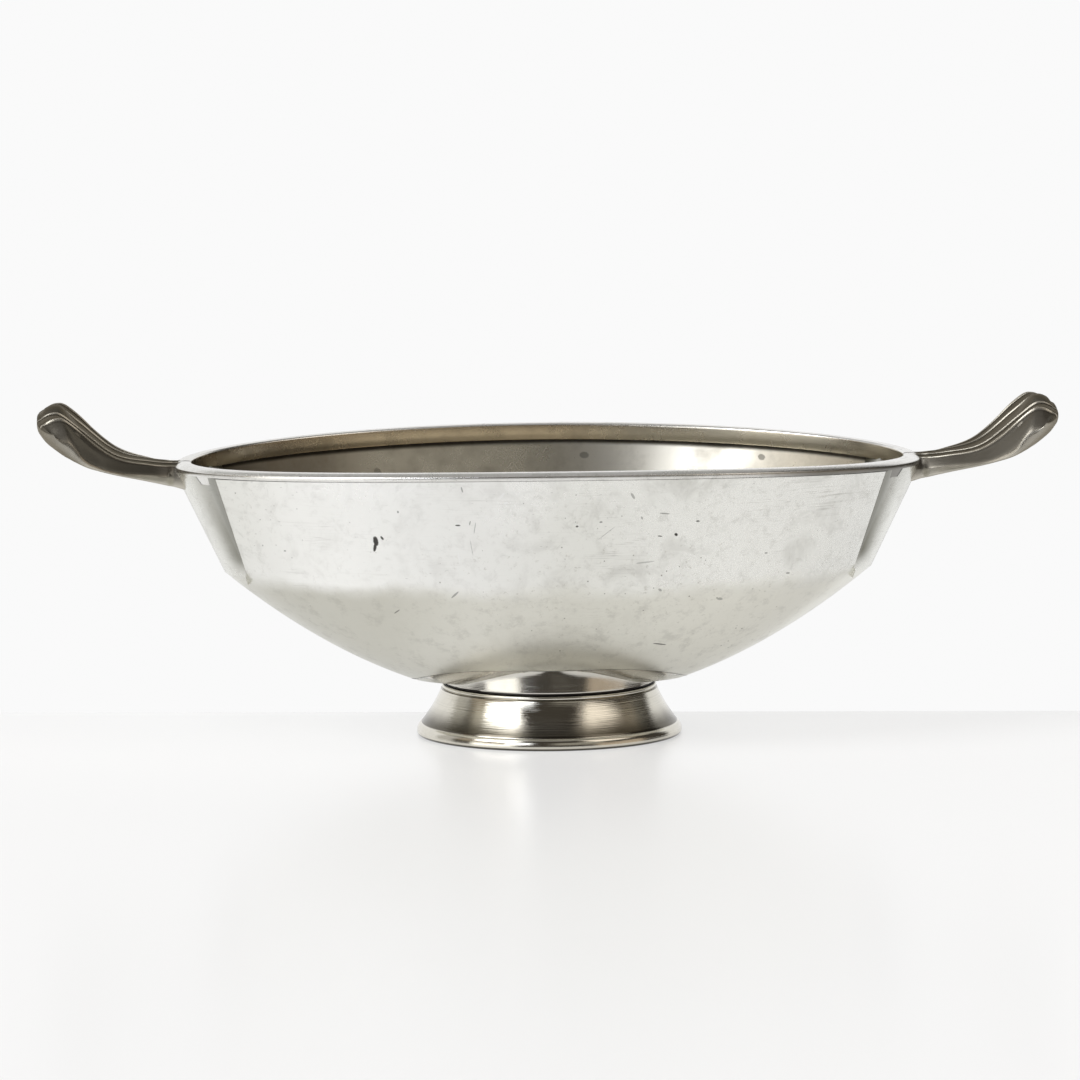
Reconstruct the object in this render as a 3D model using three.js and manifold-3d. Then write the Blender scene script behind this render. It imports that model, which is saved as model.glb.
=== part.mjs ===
// A footed oval bowl with two fanned handles, in pewter. Millimetres, +Z up, +X towards the right handle.
// The origin is the centre of the foot's underside, on the surface that the bowl stands on.
import * as THREE from 'three';
import { mergeVertices } from 'three/addons/utils/BufferGeometryUtils.js';
import Module from 'manifold-3d';

const wasm = await Module();
wasm.setup();

// Shared sizes
const seam = 0.3;              // solder gap between two pieces
const wall = 2;                // thickness of the dish and the walls
const roundSteps = 80;         // facets around an oval or a circle
const overshoot = 10;          // how far a shape runs past the piece that it is cut from
const farOut = 60;             // how far the cutting shapes run past the rim

// Foot
const footHeight = 19.3;
const footRadius = 49.5;
const footEdge = 0.45;         // small rounding of its edges
const flangeHeight = 4.4;
const flangeLip = 1.3;         // how far the flange stands out of the flare above it
const neckRadius = 39.6;
const beadHeight = 1.7;        // the small bead under the groove
const beadStep = 0.7;          // how far the flare's top stands out of it
const footWall = 2.2;

// Neck collar
const collarBore = 36.5;
const collarLength = 51.5;     // half-lengths of the oval outline where the collar meets the dish
const collarWidth = 42.2;
const collarSquareness = 2.5;  // exponent of that outline: 2 is an ellipse, more is squarer
const coveBend = 2;            // exponent of the cove's section at the front and back; at the ends it is flat

// Dish
const dishFlat = 0.425;        // the flat bottom's share of the dish's own size at the break
const dishFloor = 21.4;        // height of the flat bottom's underside
const breakHeight = 62.3;      // height of the break between dish and walls
const breakLength = 120.7;     // half-length and half-width there
const breakWidth = 67.2;
const dishFullness = 1.562;    // exponent of the dish's short profile
const breakRound = 1.6;        // length of the small flat that softens the break

// Overhang of the rim band past the top of the walls, at the ends and at the middle of the front and back
const overhangLength = 0.3;
const overhangWidth = 1.75;

// Rim band, an arch that is low at the ends
const rimLength = 139.5;
const rimWidth = 79.6;
const rimHeight = 107.6;       // top of the band at the middle of the front and back
const rimArch = 4;             // how much lower it lies at the ends
const rimTopWidth = 6.75;
const rimCrown = 1.1;          // drop of the rounded top at its outer edge
const rimFace = 1.8;           // height of the outer face
const rimSkirt = 6.4;          // depth of the skirt inside
const rimEdge = 0.25;          // small rounding of its edges

// End panels
const panelTop = 15.6;         // distance of the crease from the rim's end, along X
const panelFoot = 8.5;         // and from the break's end
const recessLength = 4.5;      // the bevel beside the crease, along X and Y, under the rim
const recessDepth = 11;
const recessStart = 68;        // height where the bevel begins

// Handles, all seen from the right end
const handleReach = 190.1;
const handleRoot = 138.3;
const handleRise = 21;         // height of the tip above the rim's ends
const handleRootHalf = 11;
const handleRootHeight = 7;
const handleCrown = 2;         // how much the root's top is arched
const handleFanHalf = 34;
const ribHeight = 1;
const handleFanRound = 6;      // how far the fan's corners fall back from its tip

function pewter(color, roughness) {
  return new THREE.MeshStandardMaterial({ color, roughness, metalness: 1 });
}

// A geometry from points and triangles, turned so that its faces point out.
function closedGeometry(points, triangles) {
  const position = new Float32Array(points.flatMap((p) => [p.x, p.y, p.z]));
  let volume = 0;
  const cross = new THREE.Vector3();
  for (const [a, b, c] of triangles) {
    volume += points[a].dot(cross.crossVectors(points[b], points[c]));
  }
  const turned = volume < 0 ? triangles.map(([a, b, c]) => [a, c, b]) : triangles;
  const geometry = new THREE.BufferGeometry();
  geometry.setAttribute('position', new THREE.BufferAttribute(position, 3));
  geometry.setIndex(turned.flat());
  return geometry;
}

function asSolid(source) {
  const plain = source.clone();
  plain.deleteAttribute('normal');
  plain.deleteAttribute('uv');
  const merged = mergeVertices(plain, 1e-4);
  return new wasm.Manifold(new wasm.Mesh({
    numProp: 3,
    vertProperties: new Float32Array(merged.attributes.position.array),
    triVerts: new Uint32Array(merged.index.array),
  }));
}

function asGeometry(solid) {
  const mesh = solid.getMesh();
  const geometry = new THREE.BufferGeometry();
  geometry.setAttribute('position', new THREE.BufferAttribute(new Float32Array(mesh.vertProperties), 3));
  geometry.setIndex(Array.from(mesh.triVerts));
  geometry.computeVertexNormals();
  return geometry;
}

// Rings of equal length, joined one to the next. Open ends get a fan of triangles.
function loft(rings, endless = false) {
  const count = rings[0].length;
  const points = rings.flat();
  const triangles = [];
  const bands = endless ? rings.length : rings.length - 1;
  for (let band = 0; band < bands; band += 1) {
    const here = band * count;
    const next = ((band + 1) % rings.length) * count;
    for (let i = 0; i < count; i += 1) {
      const j = (i + 1) % count;
      triangles.push([here + i, here + j, next + j], [here + i, next + j, next + i]);
    }
  }
  if (!endless) {
    const lastStart = (rings.length - 1) * count;
    for (const [ring, start, flip] of [[rings[0], 0, true], [rings.at(-1), lastStart, false]]) {
      const middle = new THREE.Vector3();
      ring.forEach((p) => middle.addScaledVector(p, 1 / count));
      const hub = points.length;
      points.push(middle);
      for (let i = 0; i < count; i += 1) {
        const a = start + i;
        const b = start + ((i + 1) % count);
        triangles.push(flip ? [hub, b, a] : [hub, a, b]);
      }
    }
  }
  return asSolid(closedGeometry(points, triangles));
}

// An oval ring whose ends lie at one height and whose middles lie at another.
function ovalRing({ a, b, endZ, midZ }) {
  return Array.from({ length: roundSteps }, (_, i) => {
    const angle = (i / roundSteps) * Math.PI * 2;
    const [c, s] = [Math.cos(angle), Math.sin(angle)];
    return new THREE.Vector3(a * c, b * s, endZ * c * c + midZ * s * s);
  });
}

// A profile drawn in X and Z, drawn out along Y to both sides of the middle.
function prismAlongY(outline, halfWidth) {
  const shape = new THREE.Shape(outline.map(([x, z]) => new THREE.Vector2(x, z)));
  const prism = new THREE.ExtrudeGeometry(shape, { depth: 2 * halfWidth, bevelEnabled: false });
  prism.translate(0, 0, -halfWidth);
  prism.rotateX(Math.PI / 2);
  return asSolid(prism);
}

function lathe(outline, steps = roundSteps) {
  const turned = new THREE.LatheGeometry(outline.map(([r, z]) => new THREE.Vector2(r, z)), steps);
  turned.rotateX(Math.PI / 2);
  return asSolid(turned);
}

// Heights that follow the arch of the rim
const archDrop = (x) => rimArch * (x / rimLength) ** 2;
const wallTop = (x) => rimHeight - rimCrown - rimFace - seam - archDrop(x);

// The walls lean out in straight lines, from the break to under the rim band.
const endTop = wallTop(rimLength);
const midTop = wallTop(0);
const wallLeanLength = (rimLength - overhangLength - breakLength) / (endTop - breakHeight);
const wallLeanWidth = (rimWidth - overhangWidth - breakWidth) / (midTop - breakHeight);

// Half-length and half-width of the walls at a height
const wallLengthAt = (z) => breakLength + wallLeanLength * (z - breakHeight);
const wallWidthAt = (z) => breakWidth + wallLeanWidth * (z - breakHeight);

// The dish and walls as two profiles, along the bowl and across it, pushed out by a distance.
function bodyRings(push) {
  const top = rimHeight + overshoot;
  const along = [];
  const across = [];
  const dishSteps = 9;
  for (let i = 0; i <= dishSteps; i += 1) {
    const k = dishFlat + (1 - dishFlat) * (i / dishSteps);
    const share = (k - dishFlat) / (1 - dishFlat);
    const lengthShare = (k * k - dishFlat * dishFlat) / (1 - dishFlat * dishFlat);
    along.push([breakLength * k, dishFloor + (breakHeight - dishFloor) * lengthShare]);
    across.push([breakWidth * k, dishFloor + (breakHeight - dishFloor) * share ** dishFullness]);
  }
  along.push([wallLengthAt(top), top]);
  across.push([wallWidthAt(top), top]);
  for (const profile of [along, across]) {
    softenBreak(profile, dishSteps);
  }
  const endProfile = pushedProfile(along, push);
  const midProfile = pushedProfile(across, push);
  return endProfile.map(([a, endZ], i) => ({ a, endZ, b: midProfile[i][0], midZ: midProfile[i][1] }));
}

// Swaps the corner point for two points, one on each side of it.
function softenBreak(profile, corner) {
  const [x, z] = profile[corner];
  const towards = ([px, pz]) => {
    const far = Math.hypot(px - x, pz - z);
    return [x + ((px - x) / far) * breakRound, z + ((pz - z) / far) * breakRound];
  };
  profile.splice(corner, 1, towards(profile[corner - 1]), towards(profile[corner + 1]));
}

// Moves a profile at right angles to itself. Outwards is positive.
function pushedProfile(profile, push) {
  const normals = profile.slice(1).map(([x, z], i) => {
    const [dx, dz] = [x - profile[i][0], z - profile[i][1]];
    const far = Math.hypot(dx, dz);
    return [dz / far, -dx / far];
  });
  return profile.map(([x, z], i) => {
    const before = i === 0 ? [0, -1] : normals[i - 1];
    const after = normals[Math.min(i, normals.length - 1)];
    const [nx, nz] = [before[0] + after[0], before[1] + after[1]];
    const scale = push / (1 + before[0] * after[0] + before[1] * after[1]);
    return [x + nx * scale, z + nz * scale];
  });
}

const bodySolid = (push) => loft(bodyRings(push).map(ovalRing));

// Everything above the walls' top edge
function aboveWalls() {
  const steps = 24;
  const reach = rimLength + farOut;
  const outline = [];
  for (let i = 0; i <= steps; i += 1) {
    const x = -reach + (2 * reach * i) / steps;
    outline.push([x, wallTop(x)]);
  }
  outline.push([reach, rimHeight + farOut], [-reach, rimHeight + farOut]);
  return prismAlongY(outline, rimWidth + farOut);
}

// The crease leans as a straight line from the break to the rim.
const creaseTop = rimLength - panelTop;
const creaseFoot = breakLength - panelFoot;
const creaseLean = (creaseTop - creaseFoot) / (endTop - breakHeight);
const creaseAt = (z) => creaseFoot + creaseLean * (z - breakHeight);

// The space of the right end panel, beyond the crease and above the break
function endSpace(gap) {
  const low = breakHeight + gap;
  const high = rimHeight + overshoot;
  const far = rimLength + farOut;
  return prismAlongY(
    [[creaseAt(low) + gap, low], [far, low], [far, high], [creaseAt(high) + gap, high]],
    rimWidth + farOut,
  );
}

// The right end panel's outline at a height, from the front crease round the lobe to the back crease
function lobeOutline(z, inset) {
  const length = wallLengthAt(z) - inset;
  const creaseX = creaseAt(z) - inset;
  const fullLength = wallLengthAt(z);
  const creaseY = wallWidthAt(z) * Math.sqrt(1 - (creaseAt(z) / fullLength) ** 2);
  const opened = Math.max(0, (z - recessStart) / (endTop - recessStart));
  const valleyX = creaseX + recessLength * opened;
  const valleyY = creaseY - recessDepth * opened - inset * 0.4;
  const rise = length - valleyX;
  const radius = (valleyY * valleyY + rise * rise) / (2 * rise);
  const half = Math.asin(Math.min(1, valleyY / radius));
  const arcSteps = 16;
  const outline = [[creaseX, -creaseY]];
  for (let i = 0; i <= arcSteps; i += 1) {
    const angle = half * ((2 * i) / arcSteps - 1);
    outline.push([length - radius + radius * Math.cos(angle), radius * Math.sin(angle)]);
  }
  outline.push([creaseX, creaseY]);
  return outline;
}

// The space inside that outline, up to well above the rim
function lobeSolid(inset) {
  const backPlane = creaseFoot - farOut;
  const rimEnd = rimHeight - rimArch;
  const levels = [breakHeight - seam, recessStart, (recessStart + rimEnd) / 2, rimEnd, rimHeight + overshoot];
  const rings = levels.map((z) => {
    const outline = lobeOutline(z, inset);
    const edge = outline[0][1];
    return [[backPlane, edge], ...outline, [backPlane, -edge]].map(([x, y]) => new THREE.Vector3(x, y, z));
  });
  return loft(rings);
}

// How far the walls' inner face lies in from the rim's outer edge, at the ends and at the middles
function wallInset(up) {
  const endZ = rimHeight - rimArch + up;
  const midZ = rimHeight + up;
  return [
    rimLength - wallLengthAt(endZ) + (wall + seam) * Math.hypot(1, wallLeanLength),
    rimWidth - wallWidthAt(midZ) + (wall + seam) * Math.hypot(1, wallLeanWidth),
  ];
}

// The rim band's section: how far in from its outer edge at the ends and at the middles, and how high.
function rimSection() {
  const underLip = rimCrown + rimFace;
  return [
    [0, 0, -rimCrown - rimEdge],
    [rimEdge, rimEdge, -rimCrown],
    [rimTopWidth * 0.24, rimTopWidth * 0.24, -rimCrown * 0.35],
    [rimTopWidth * 0.5, rimTopWidth * 0.5, 0],
    [rimTopWidth * 0.9, rimTopWidth * 0.9, -rimCrown * 0.15],
    [rimTopWidth, rimTopWidth, -rimTopWidth * 0.1],
    [rimTopWidth, rimTopWidth, -rimSkirt],
    [...wallInset(-rimSkirt), -rimSkirt],
    [...wallInset(-underLip), -underLip],
    [rimEdge, rimEdge, -underLip],
    [0, 0, -underLip + rimEdge],
  ];
}

// Moves every point of a closed section outwards by a distance, at right angles to its two sides.
function grownSection(section, push) {
  const sideNormal = ([ax, , az], [bx, , bz]) => {
    const far = Math.hypot(bx - ax, bz - az);
    return [(az - bz) / far, (bx - ax) / far];
  };
  return section.map((point, i) => {
    const before = sideNormal(section.at(i - 1), point);
    const after = sideNormal(point, section[(i + 1) % section.length]);
    const scale = push / (1 + before[0] * after[0] + before[1] * after[1]);
    const [inwards, up] = [(before[0] + after[0]) * scale, (before[1] + after[1]) * scale];
    return [point[0] + inwards, point[1] + inwards, point[2] + up];
  });
}

function rimBand(grown = 0) {
  const section = grownSection(rimSection(), grown);
  const rings = Array.from({ length: roundSteps }, (_, i) => {
    const angle = (i / roundSteps) * Math.PI * 2;
    return section.map(([endInset, midInset, up]) => {
      const x = (rimLength - endInset) * Math.cos(angle);
      const y = (rimWidth - midInset) * Math.sin(angle);
      return new THREE.Vector3(x, y, rimHeight - archDrop(x) + up);
    });
  });
  return loft(rings, true);
}

// Height of the dish's underside at a place under it
function dishHeight(x, y) {
  const size = Math.hypot(x / breakLength, y / breakWidth);
  const endShare = (x / breakLength / size) ** 2;
  const rise = breakHeight - dishFloor;
  const endRise = (size ** 2 - dishFlat ** 2) / (1 - dishFlat ** 2);
  const midRise = Math.max(0, (size - dishFlat) / (1 - dishFlat)) ** dishFullness;
  return dishFloor + rise * (endShare * endRise + (1 - endShare) * midRise);
}

// The collar: round at the groove, and a cove up to the oval outline where it meets the dish
function neckCollar() {
  const low = footHeight + seam;
  const outline = Array.from({ length: roundSteps }, (_, i) => {
    const angle = (i / roundSteps) * Math.PI * 2;
    const [c, s] = [Math.cos(angle), Math.sin(angle)];
    const size = Math.abs(c / collarLength) ** collarSquareness + Math.abs(s / collarWidth) ** collarSquareness;
    const reach = size ** (-1 / collarSquareness);
    return { c, s, reach, high: dishHeight(reach * c, reach * s) };
  });
  const coveSteps = 6;
  const rings = [];
  for (let step = 0; step <= coveSteps; step += 1) {
    const share = step / coveSteps;
    rings.push(outline.map(({ c, s, reach, high }) => {
      const bend = 1 + (coveBend - 1) * s * s;
      const radius = neckRadius + (reach - neckRadius) * share ** bend;
      return new THREE.Vector3(radius * c, radius * s, low + (high - low) * share);
    }));
  }
  rings.push(outline.map(({ c, s, reach, high }) => new THREE.Vector3(reach * c, reach * s, high + wall)));
  const boreTop = dishHeight(0, collarWidth) + 2 * wall;
  const bore = lathe([[0, 0], [collarBore, 0], [collarBore, boreTop], [0, boreTop]]);
  return loft(rings).subtract(bore).subtract(bodySolid(seam));
}

// The foot: a flange, a straight flare and a small bead, all turned in one piece and open below
function footRing() {
  const flareFoot = footRadius - flangeLip;
  const flareTop = neckRadius + beadStep;
  const beadFoot = footHeight - beadHeight;
  return lathe([
    [footRadius - 2 * footWall, 0],
    [footRadius - footEdge, 0],
    [footRadius, 2 * footEdge],
    [footRadius, flangeHeight - 3 * footEdge],
    [footRadius - footEdge, flangeHeight - footEdge],
    [flareFoot, flangeHeight],
    [flareFoot - footEdge, flangeHeight + footEdge],
    [flareTop, beadFoot - footEdge],
    [neckRadius - footEdge, beadFoot],
    [neckRadius, beadFoot + footEdge],
    [neckRadius, footHeight - footEdge],
    [neckRadius - footEdge, footHeight],
    [collarBore, footHeight],
    [flareTop - footWall, beadFoot - 2 * footEdge],
    [flareFoot - 2 * footWall, flangeHeight + footEdge],
    [footRadius - 2 * footWall, 0],
  ], roundSteps);
}

// The handle's side view: its ribbed top line and its underside, as shares of its length and of its rise
const handleTop = [
  [-0.08, -0.08], [0.05, -0.075], [0.2, -0.01], [0.44, 0.19], [0.69, 0.68], [0.82, 0.95], [0.885, 0.99],
  [0.94, 0.94], [0.975, 0.85],
];
const handleUnder = [
  [-0.08, -0.52], [0.03, -0.42], [0.2, -0.28], [0.49, -0.055], [0.78, 0.2], [0.92, 0.42], [0.985, 0.61],
  [0.996, 0.68],
];

// The ribs across one half of the top: share of the half-width, then their height on the shank and at the
// tip, as shares of the rib height
const handleRibs = [
  [0, -0.9, 1.3],
  [0.15, -0.8, 1],
  [0.27, -0.5, 0],
  [0.3, 0, -0.2],
  [0.34, -0.5, -0.9],
  [0.47, -0.7, -0.8],
  [0.6, -0.5, -1.3],
  [0.64, -0.1, -1],
  [0.68, -0.6, -1.9],
  [0.78, 0.1, -2],
  [0.87, 0.3, -2.3],
  [0.95, -0.3, -3.4],
  [1, -1.6, -5],
];

const easeBetween = (low, high, value) => {
  const t = Math.min(1, Math.max(0, (value - low) / (high - low)));
  return t * t * (3 - 2 * t);
};

// One closed section of the handle: its ribbed top, its rounded sides and its underside.
function handleSection(top, under) {
  const share = (top.x - handleRoot) / (handleReach - handleRoot);
  const up = top.clone().sub(under);
  const height = up.length();
  up.normalize();
  const half = handleRootHalf + (handleFanHalf - handleRootHalf) * easeBetween(0, 0.73, share);
  const tip = easeBetween(0.69, 0.85, share);
  const crown = handleCrown * (1 - easeBetween(0.03, 0.53, share));
  const fallBack = handleFanRound * easeBetween(0.57, 0.85, share);
  const ribSize = (0.55 + 0.45 * easeBetween(0.13, 0.51, share)) * Math.min(1, height / handleRootHeight);
  const right = handleRibs.map(([across, shank, end]) => {
    const relief = ribHeight * (shank + (end - shank) * tip) * ribSize;
    return [across, height + relief + crown * (1 - across * across)];
  });
  const side = [[1.01, height * 0.6], [0.98, height * 0.3], [0.9, height * 0.08], [0.75, 0], [0.4, 0]];
  const oneHalf = [...right, ...side];
  const otherHalf = oneHalf.slice(1).reverse().map(([across, level]) => [-across, level]);
  return [...oneHalf, [0, 0], ...otherHalf].map(([across, level]) => {
    const point = under.clone().addScaledVector(up, level);
    point.y = across * half;
    point.x -= fallBack * across ** 4;
    return point;
  });
}

// The right handle, cut to butt against the rim band and the end panel
function handleSolid() {
  const line = (shares) => new THREE.CatmullRomCurve3(shares.map(([along, rise]) => new THREE.Vector3(
    handleRoot + (handleReach - handleRoot) * along,
    0,
    rimHeight - rimArch + handleRise * rise,
  )));
  const [topLine, underLine] = [line(handleTop), line(handleUnder)];
  const sectionSteps = 15;
  const sections = Array.from({ length: sectionSteps + 1 }, (_, i) => handleSection(
    topLine.getPointAt(i / sectionSteps),
    underLine.getPointAt(i / sectionSteps),
  ));
  const noseMiddle = topLine.getPoint(1).add(underLine.getPoint(1)).multiplyScalar(0.5);
  const nose = sections.at(-1).map((p) => new THREE.Vector3(
    handleReach - (handleReach - p.x) * 0.45,
    p.y * 0.985,
    noseMiddle.z + (p.z - noseMiddle.z) * 0.35,
  ));
  const panel = lobeSolid(-seam).subtract(aboveWalls());
  return loft([...sections, nose]).subtract(panel).subtract(rimBand(seam)).trimByPlane([1, 0, 0], handleRoot);
}

// Pieces
const body = bodySolid(0).subtract(bodySolid(-wall)).subtract(aboveWalls());
const rightSpace = endSpace(0);
const leftSpace = rightSpace.rotate([0, 0, 180]);
const bodyShell = body.subtract(rightSpace).subtract(leftSpace);
const panelWall = wall * Math.hypot(1, wallLeanLength);
const endPanel = lobeSolid(0)
  .subtract(lobeSolid(panelWall))
  .intersect(endSpace(seam))
  .subtract(aboveWalls())
  .subtract(rimBand(seam));
const handle = handleSolid();

const bowl = new THREE.Group();

function addPiece(name, solid, material, turn = 0) {
  const mesh = new THREE.Mesh(asGeometry(solid), material);
  mesh.name = name;
  mesh.rotation.z = turn;
  bowl.add(mesh);
}

addPiece('body_shell', bodyShell, pewter(0xcfcdc4, 0.34));
addPiece('right_end_panel', endPanel, pewter(0xc9c6bb, 0.34));
addPiece('left_end_panel', endPanel, pewter(0xc9c6bb, 0.34), Math.PI);
addPiece('rim_band', rimBand(), pewter(0xd6d3cc, 0.3));
addPiece('right_handle', handle, pewter(0x7d776c, 0.36));
addPiece('left_handle', handle, pewter(0x7d776c, 0.36), Math.PI);
addPiece('neck_collar', neckCollar(), pewter(0xa9a599, 0.3));
addPiece('foot_ring', footRing(), pewter(0xb4afa3, 0.26));

export default bowl;
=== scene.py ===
import math

import bpy
from mathutils import Matrix, Vector


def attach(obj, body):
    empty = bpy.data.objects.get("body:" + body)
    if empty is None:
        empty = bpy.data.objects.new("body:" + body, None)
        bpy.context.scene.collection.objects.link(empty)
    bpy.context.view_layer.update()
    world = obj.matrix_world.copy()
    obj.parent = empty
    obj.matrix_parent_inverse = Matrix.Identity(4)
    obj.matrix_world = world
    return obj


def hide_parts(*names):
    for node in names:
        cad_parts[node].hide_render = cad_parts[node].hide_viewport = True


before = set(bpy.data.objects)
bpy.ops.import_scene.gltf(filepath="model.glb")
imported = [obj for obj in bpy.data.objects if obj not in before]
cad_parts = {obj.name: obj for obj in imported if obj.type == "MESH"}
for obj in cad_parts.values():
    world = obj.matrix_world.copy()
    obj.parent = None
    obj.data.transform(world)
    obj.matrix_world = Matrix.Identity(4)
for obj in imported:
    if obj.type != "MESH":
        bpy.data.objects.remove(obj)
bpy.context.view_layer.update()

MM = 0.001
MERGE_DISTANCE = 0.00001
SLIVER_LENGTH = 0.000001

# Sizes in millimetres, close to the solids', with narrower seams and a slightly slimmer dish and collar
SEAM = 0.1
WALL = 2.0
BREAK_HEIGHT = 62.3
BREAK_LENGTH, BREAK_WIDTH = 120.7, 67.2
DISH_FLOOR, DISH_FLAT, DISH_FULLNESS = 21.4, 0.425, 1.253
RIM_LENGTH, RIM_WIDTH, RIM_HEIGHT, RIM_ARCH = 139.5, 79.6, 107.6, 4.0
RIM_TOP_WIDTH, RIM_CROWN, RIM_FACE, RIM_SKIRT = 6.75, 1.1, 1.8, 6.4
WALL_TOP_LENGTH, WALL_TOP_WIDTH = 139.2, 77.85
END_TOP, MID_TOP = 100.4, 104.4
LEAN_LENGTH = (WALL_TOP_LENGTH - BREAK_LENGTH) / (END_TOP - BREAK_HEIGHT)
LEAN_WIDTH = (WALL_TOP_WIDTH - BREAK_WIDTH) / (MID_TOP - BREAK_HEIGHT)
CREASE_TOP, CREASE_FOOT = 123.9, 112.2
RECESS_START, RECESS_LENGTH, RECESS_DEPTH = 68.0, 4.5, 11.0
FOOT_HEIGHT, NECK_RADIUS, COLLAR_BORE = 19.3, 39.6, 36.5
COLLAR_LENGTH, COLLAR_WIDTH, COLLAR_SQUARENESS, COLLAR_WAIST = 51.5, 38.0, 2.5, 1.6
GROOVE_DEPTH, GROOVE_LOW, GROOVE_HIGH = 0.8, 0.35, 0.7
HANDLE_ROOT, HANDLE_REACH, HANDLE_RISE = 138.3, 190.0, 21.0
ROOT_HALF, FAN_HALF, ROOT_HEIGHT, FAN_FALL = 11.0, 34.0, 7.0, 6.0


def deselect():
    bpy.ops.object.select_all(action='DESELECT')


def pick(piece):
    deselect()
    bpy.context.view_layer.objects.active = piece
    piece.select_set(True)


def edit(piece):
    pick(piece)
    bpy.ops.object.mode_set(mode='EDIT')
    bpy.ops.mesh.select_all(action='SELECT')


def object_mode():
    bpy.ops.object.mode_set(mode='OBJECT')


def flip(piece):
    edit(piece)
    bpy.ops.mesh.flip_normals()
    object_mode()


def close_up(piece):
    """Merges what lies on one spot and turns all the faces out."""
    edit(piece)
    bpy.ops.mesh.remove_doubles(threshold=MERGE_DISTANCE)
    bpy.ops.mesh.dissolve_degenerate(threshold=SLIVER_LENGTH)
    bpy.ops.mesh.select_all(action='SELECT')
    bpy.ops.mesh.normals_make_consistent(inside=False)
    object_mode()
    volume = sum(face.center.dot(face.normal) * face.area for face in piece.data.polygons) / 3
    if volume < 0:
        flip(piece)


def wire(name, points, closed=True):
    """A chain of vertices from a circle, at the given points."""
    deselect()
    bpy.ops.mesh.primitive_circle_add(vertices=len(points), radius=1)
    piece = bpy.context.object
    piece.name = name
    for vertex, point in zip(piece.data.vertices, points):
        vertex.co = point
    if not closed:
        last = len(points) - 1
        edit(piece)
        bpy.ops.mesh.select_all(action='DESELECT')
        object_mode()
        for edge in piece.data.edges:
            edge.select = set(edge.vertices) == {0, last}
        bpy.ops.object.mode_set(mode='EDIT')
        bpy.ops.mesh.select_mode(type='EDGE')
        bpy.ops.mesh.delete(type='EDGE')
        bpy.ops.mesh.select_mode(type='VERT')
        object_mode()
    return piece


def spin(piece, steps):
    edit(piece)
    bpy.ops.mesh.spin(steps=steps, angle=math.tau, center=(0, 0, 0), axis=(0, 0, 1))
    bpy.ops.mesh.select_all(action='SELECT')
    bpy.ops.mesh.remove_doubles(threshold=MERGE_DISTANCE)
    object_mode()


def turned(name, outline, steps=200):
    """A round piece, spun from its closed outline of radius and height."""
    piece = wire(name, [Vector((r, 0, z)) * MM for r, z in outline])
    spin(piece, steps)
    close_up(piece)
    return piece


def oval(name, section, place, closed=True, steps=256):
    """A spun ring of so many section points, each then moved to its place on the oval."""
    piece = wire(name, [(i + 1, 0, 0) for i in range(section)], closed)
    spin(piece, steps)
    for vertex in piece.data.vertices:
        ring = round(math.hypot(vertex.co.x, vertex.co.y)) - 1
        vertex.co = Vector(place(ring, math.atan2(vertex.co.y, vertex.co.x))) * MM
    close_up(piece)
    return piece


def sheet(name, across, up, place):
    """A grid of faces, each corner of which is put in its place by its column and row."""
    deselect()
    bpy.ops.mesh.primitive_grid_add(x_subdivisions=across, y_subdivisions=up, size=2)
    piece = bpy.context.object
    piece.name = name
    for vertex in piece.data.vertices:
        column = round((vertex.co.x + 1) / 2 * across)
        row = round((vertex.co.y + 1) / 2 * up)
        vertex.co = Vector(place(column, row)) * MM
    return piece


def apply(piece, kind, **settings):
    pick(piece)
    modifier = piece.modifiers.new(kind.title(), kind)
    for key, value in settings.items():
        setattr(modifier, key, value)
    bpy.ops.object.modifier_apply(modifier=modifier.name)


def cut_by(piece, tool):
    """Cuts the tool out of the piece, and takes the tool away."""
    apply(piece, 'BOOLEAN', operation='DIFFERENCE', solver='EXACT', object=tool)
    bpy.data.objects.remove(tool, do_unlink=True)


def smooth(piece, degrees):
    pick(piece)
    bpy.ops.object.shade_smooth_by_angle(angle=math.radians(degrees))


def paint(piece, name, share_at):
    """Writes a share from 0 to 1 on every vertex, by its place in millimetres."""
    layer = piece.data.attributes.new(name, 'FLOAT', 'POINT')
    for vertex, spot in zip(piece.data.vertices, layer.data):
        spot.value = share_at(vertex.co / MM)


def ease(low, high, value):
    t = min(1, max(0, (value - low) / (high - low)))
    return t * t * (3 - 2 * t)


def mix(a, b, share):
    return a + (b - a) * share


def arch(x):
    """How far the rim has dipped, so far along from the middle."""
    return RIM_ARCH * (x / RIM_LENGTH) ** 2


def wall_length(z):
    return BREAK_LENGTH + LEAN_LENGTH * (z - BREAK_HEIGHT)


def wall_width(z):
    return BREAK_WIDTH + LEAN_WIDTH * (z - BREAK_HEIGHT)


def crease(z):
    return mix(CREASE_FOOT, CREASE_TOP, (z - BREAK_HEIGHT) / (END_TOP - BREAK_HEIGHT))


def end_rise(size):
    """The share of its height that the dish has reached at an end, at a share of its size."""
    return (size ** 2 - DISH_FLAT ** 2) / (1 - DISH_FLAT ** 2)


def middle_rise(size):
    """The same in the middle of the front or back."""
    return max(0, (size - DISH_FLAT) / (1 - DISH_FLAT)) ** DISH_FULLNESS


def dish_height(x, y):
    """The height of the dish's outer face."""
    size = max(0.001, math.hypot(x / BREAK_LENGTH, y / BREAK_WIDTH))
    along = (x / BREAK_LENGTH / size) ** 2
    rise = max(0, along * end_rise(size) + (1 - along) * middle_rise(size))
    return DISH_FLOOR + (BREAK_HEIGHT - DISH_FLOOR) * rise


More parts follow.
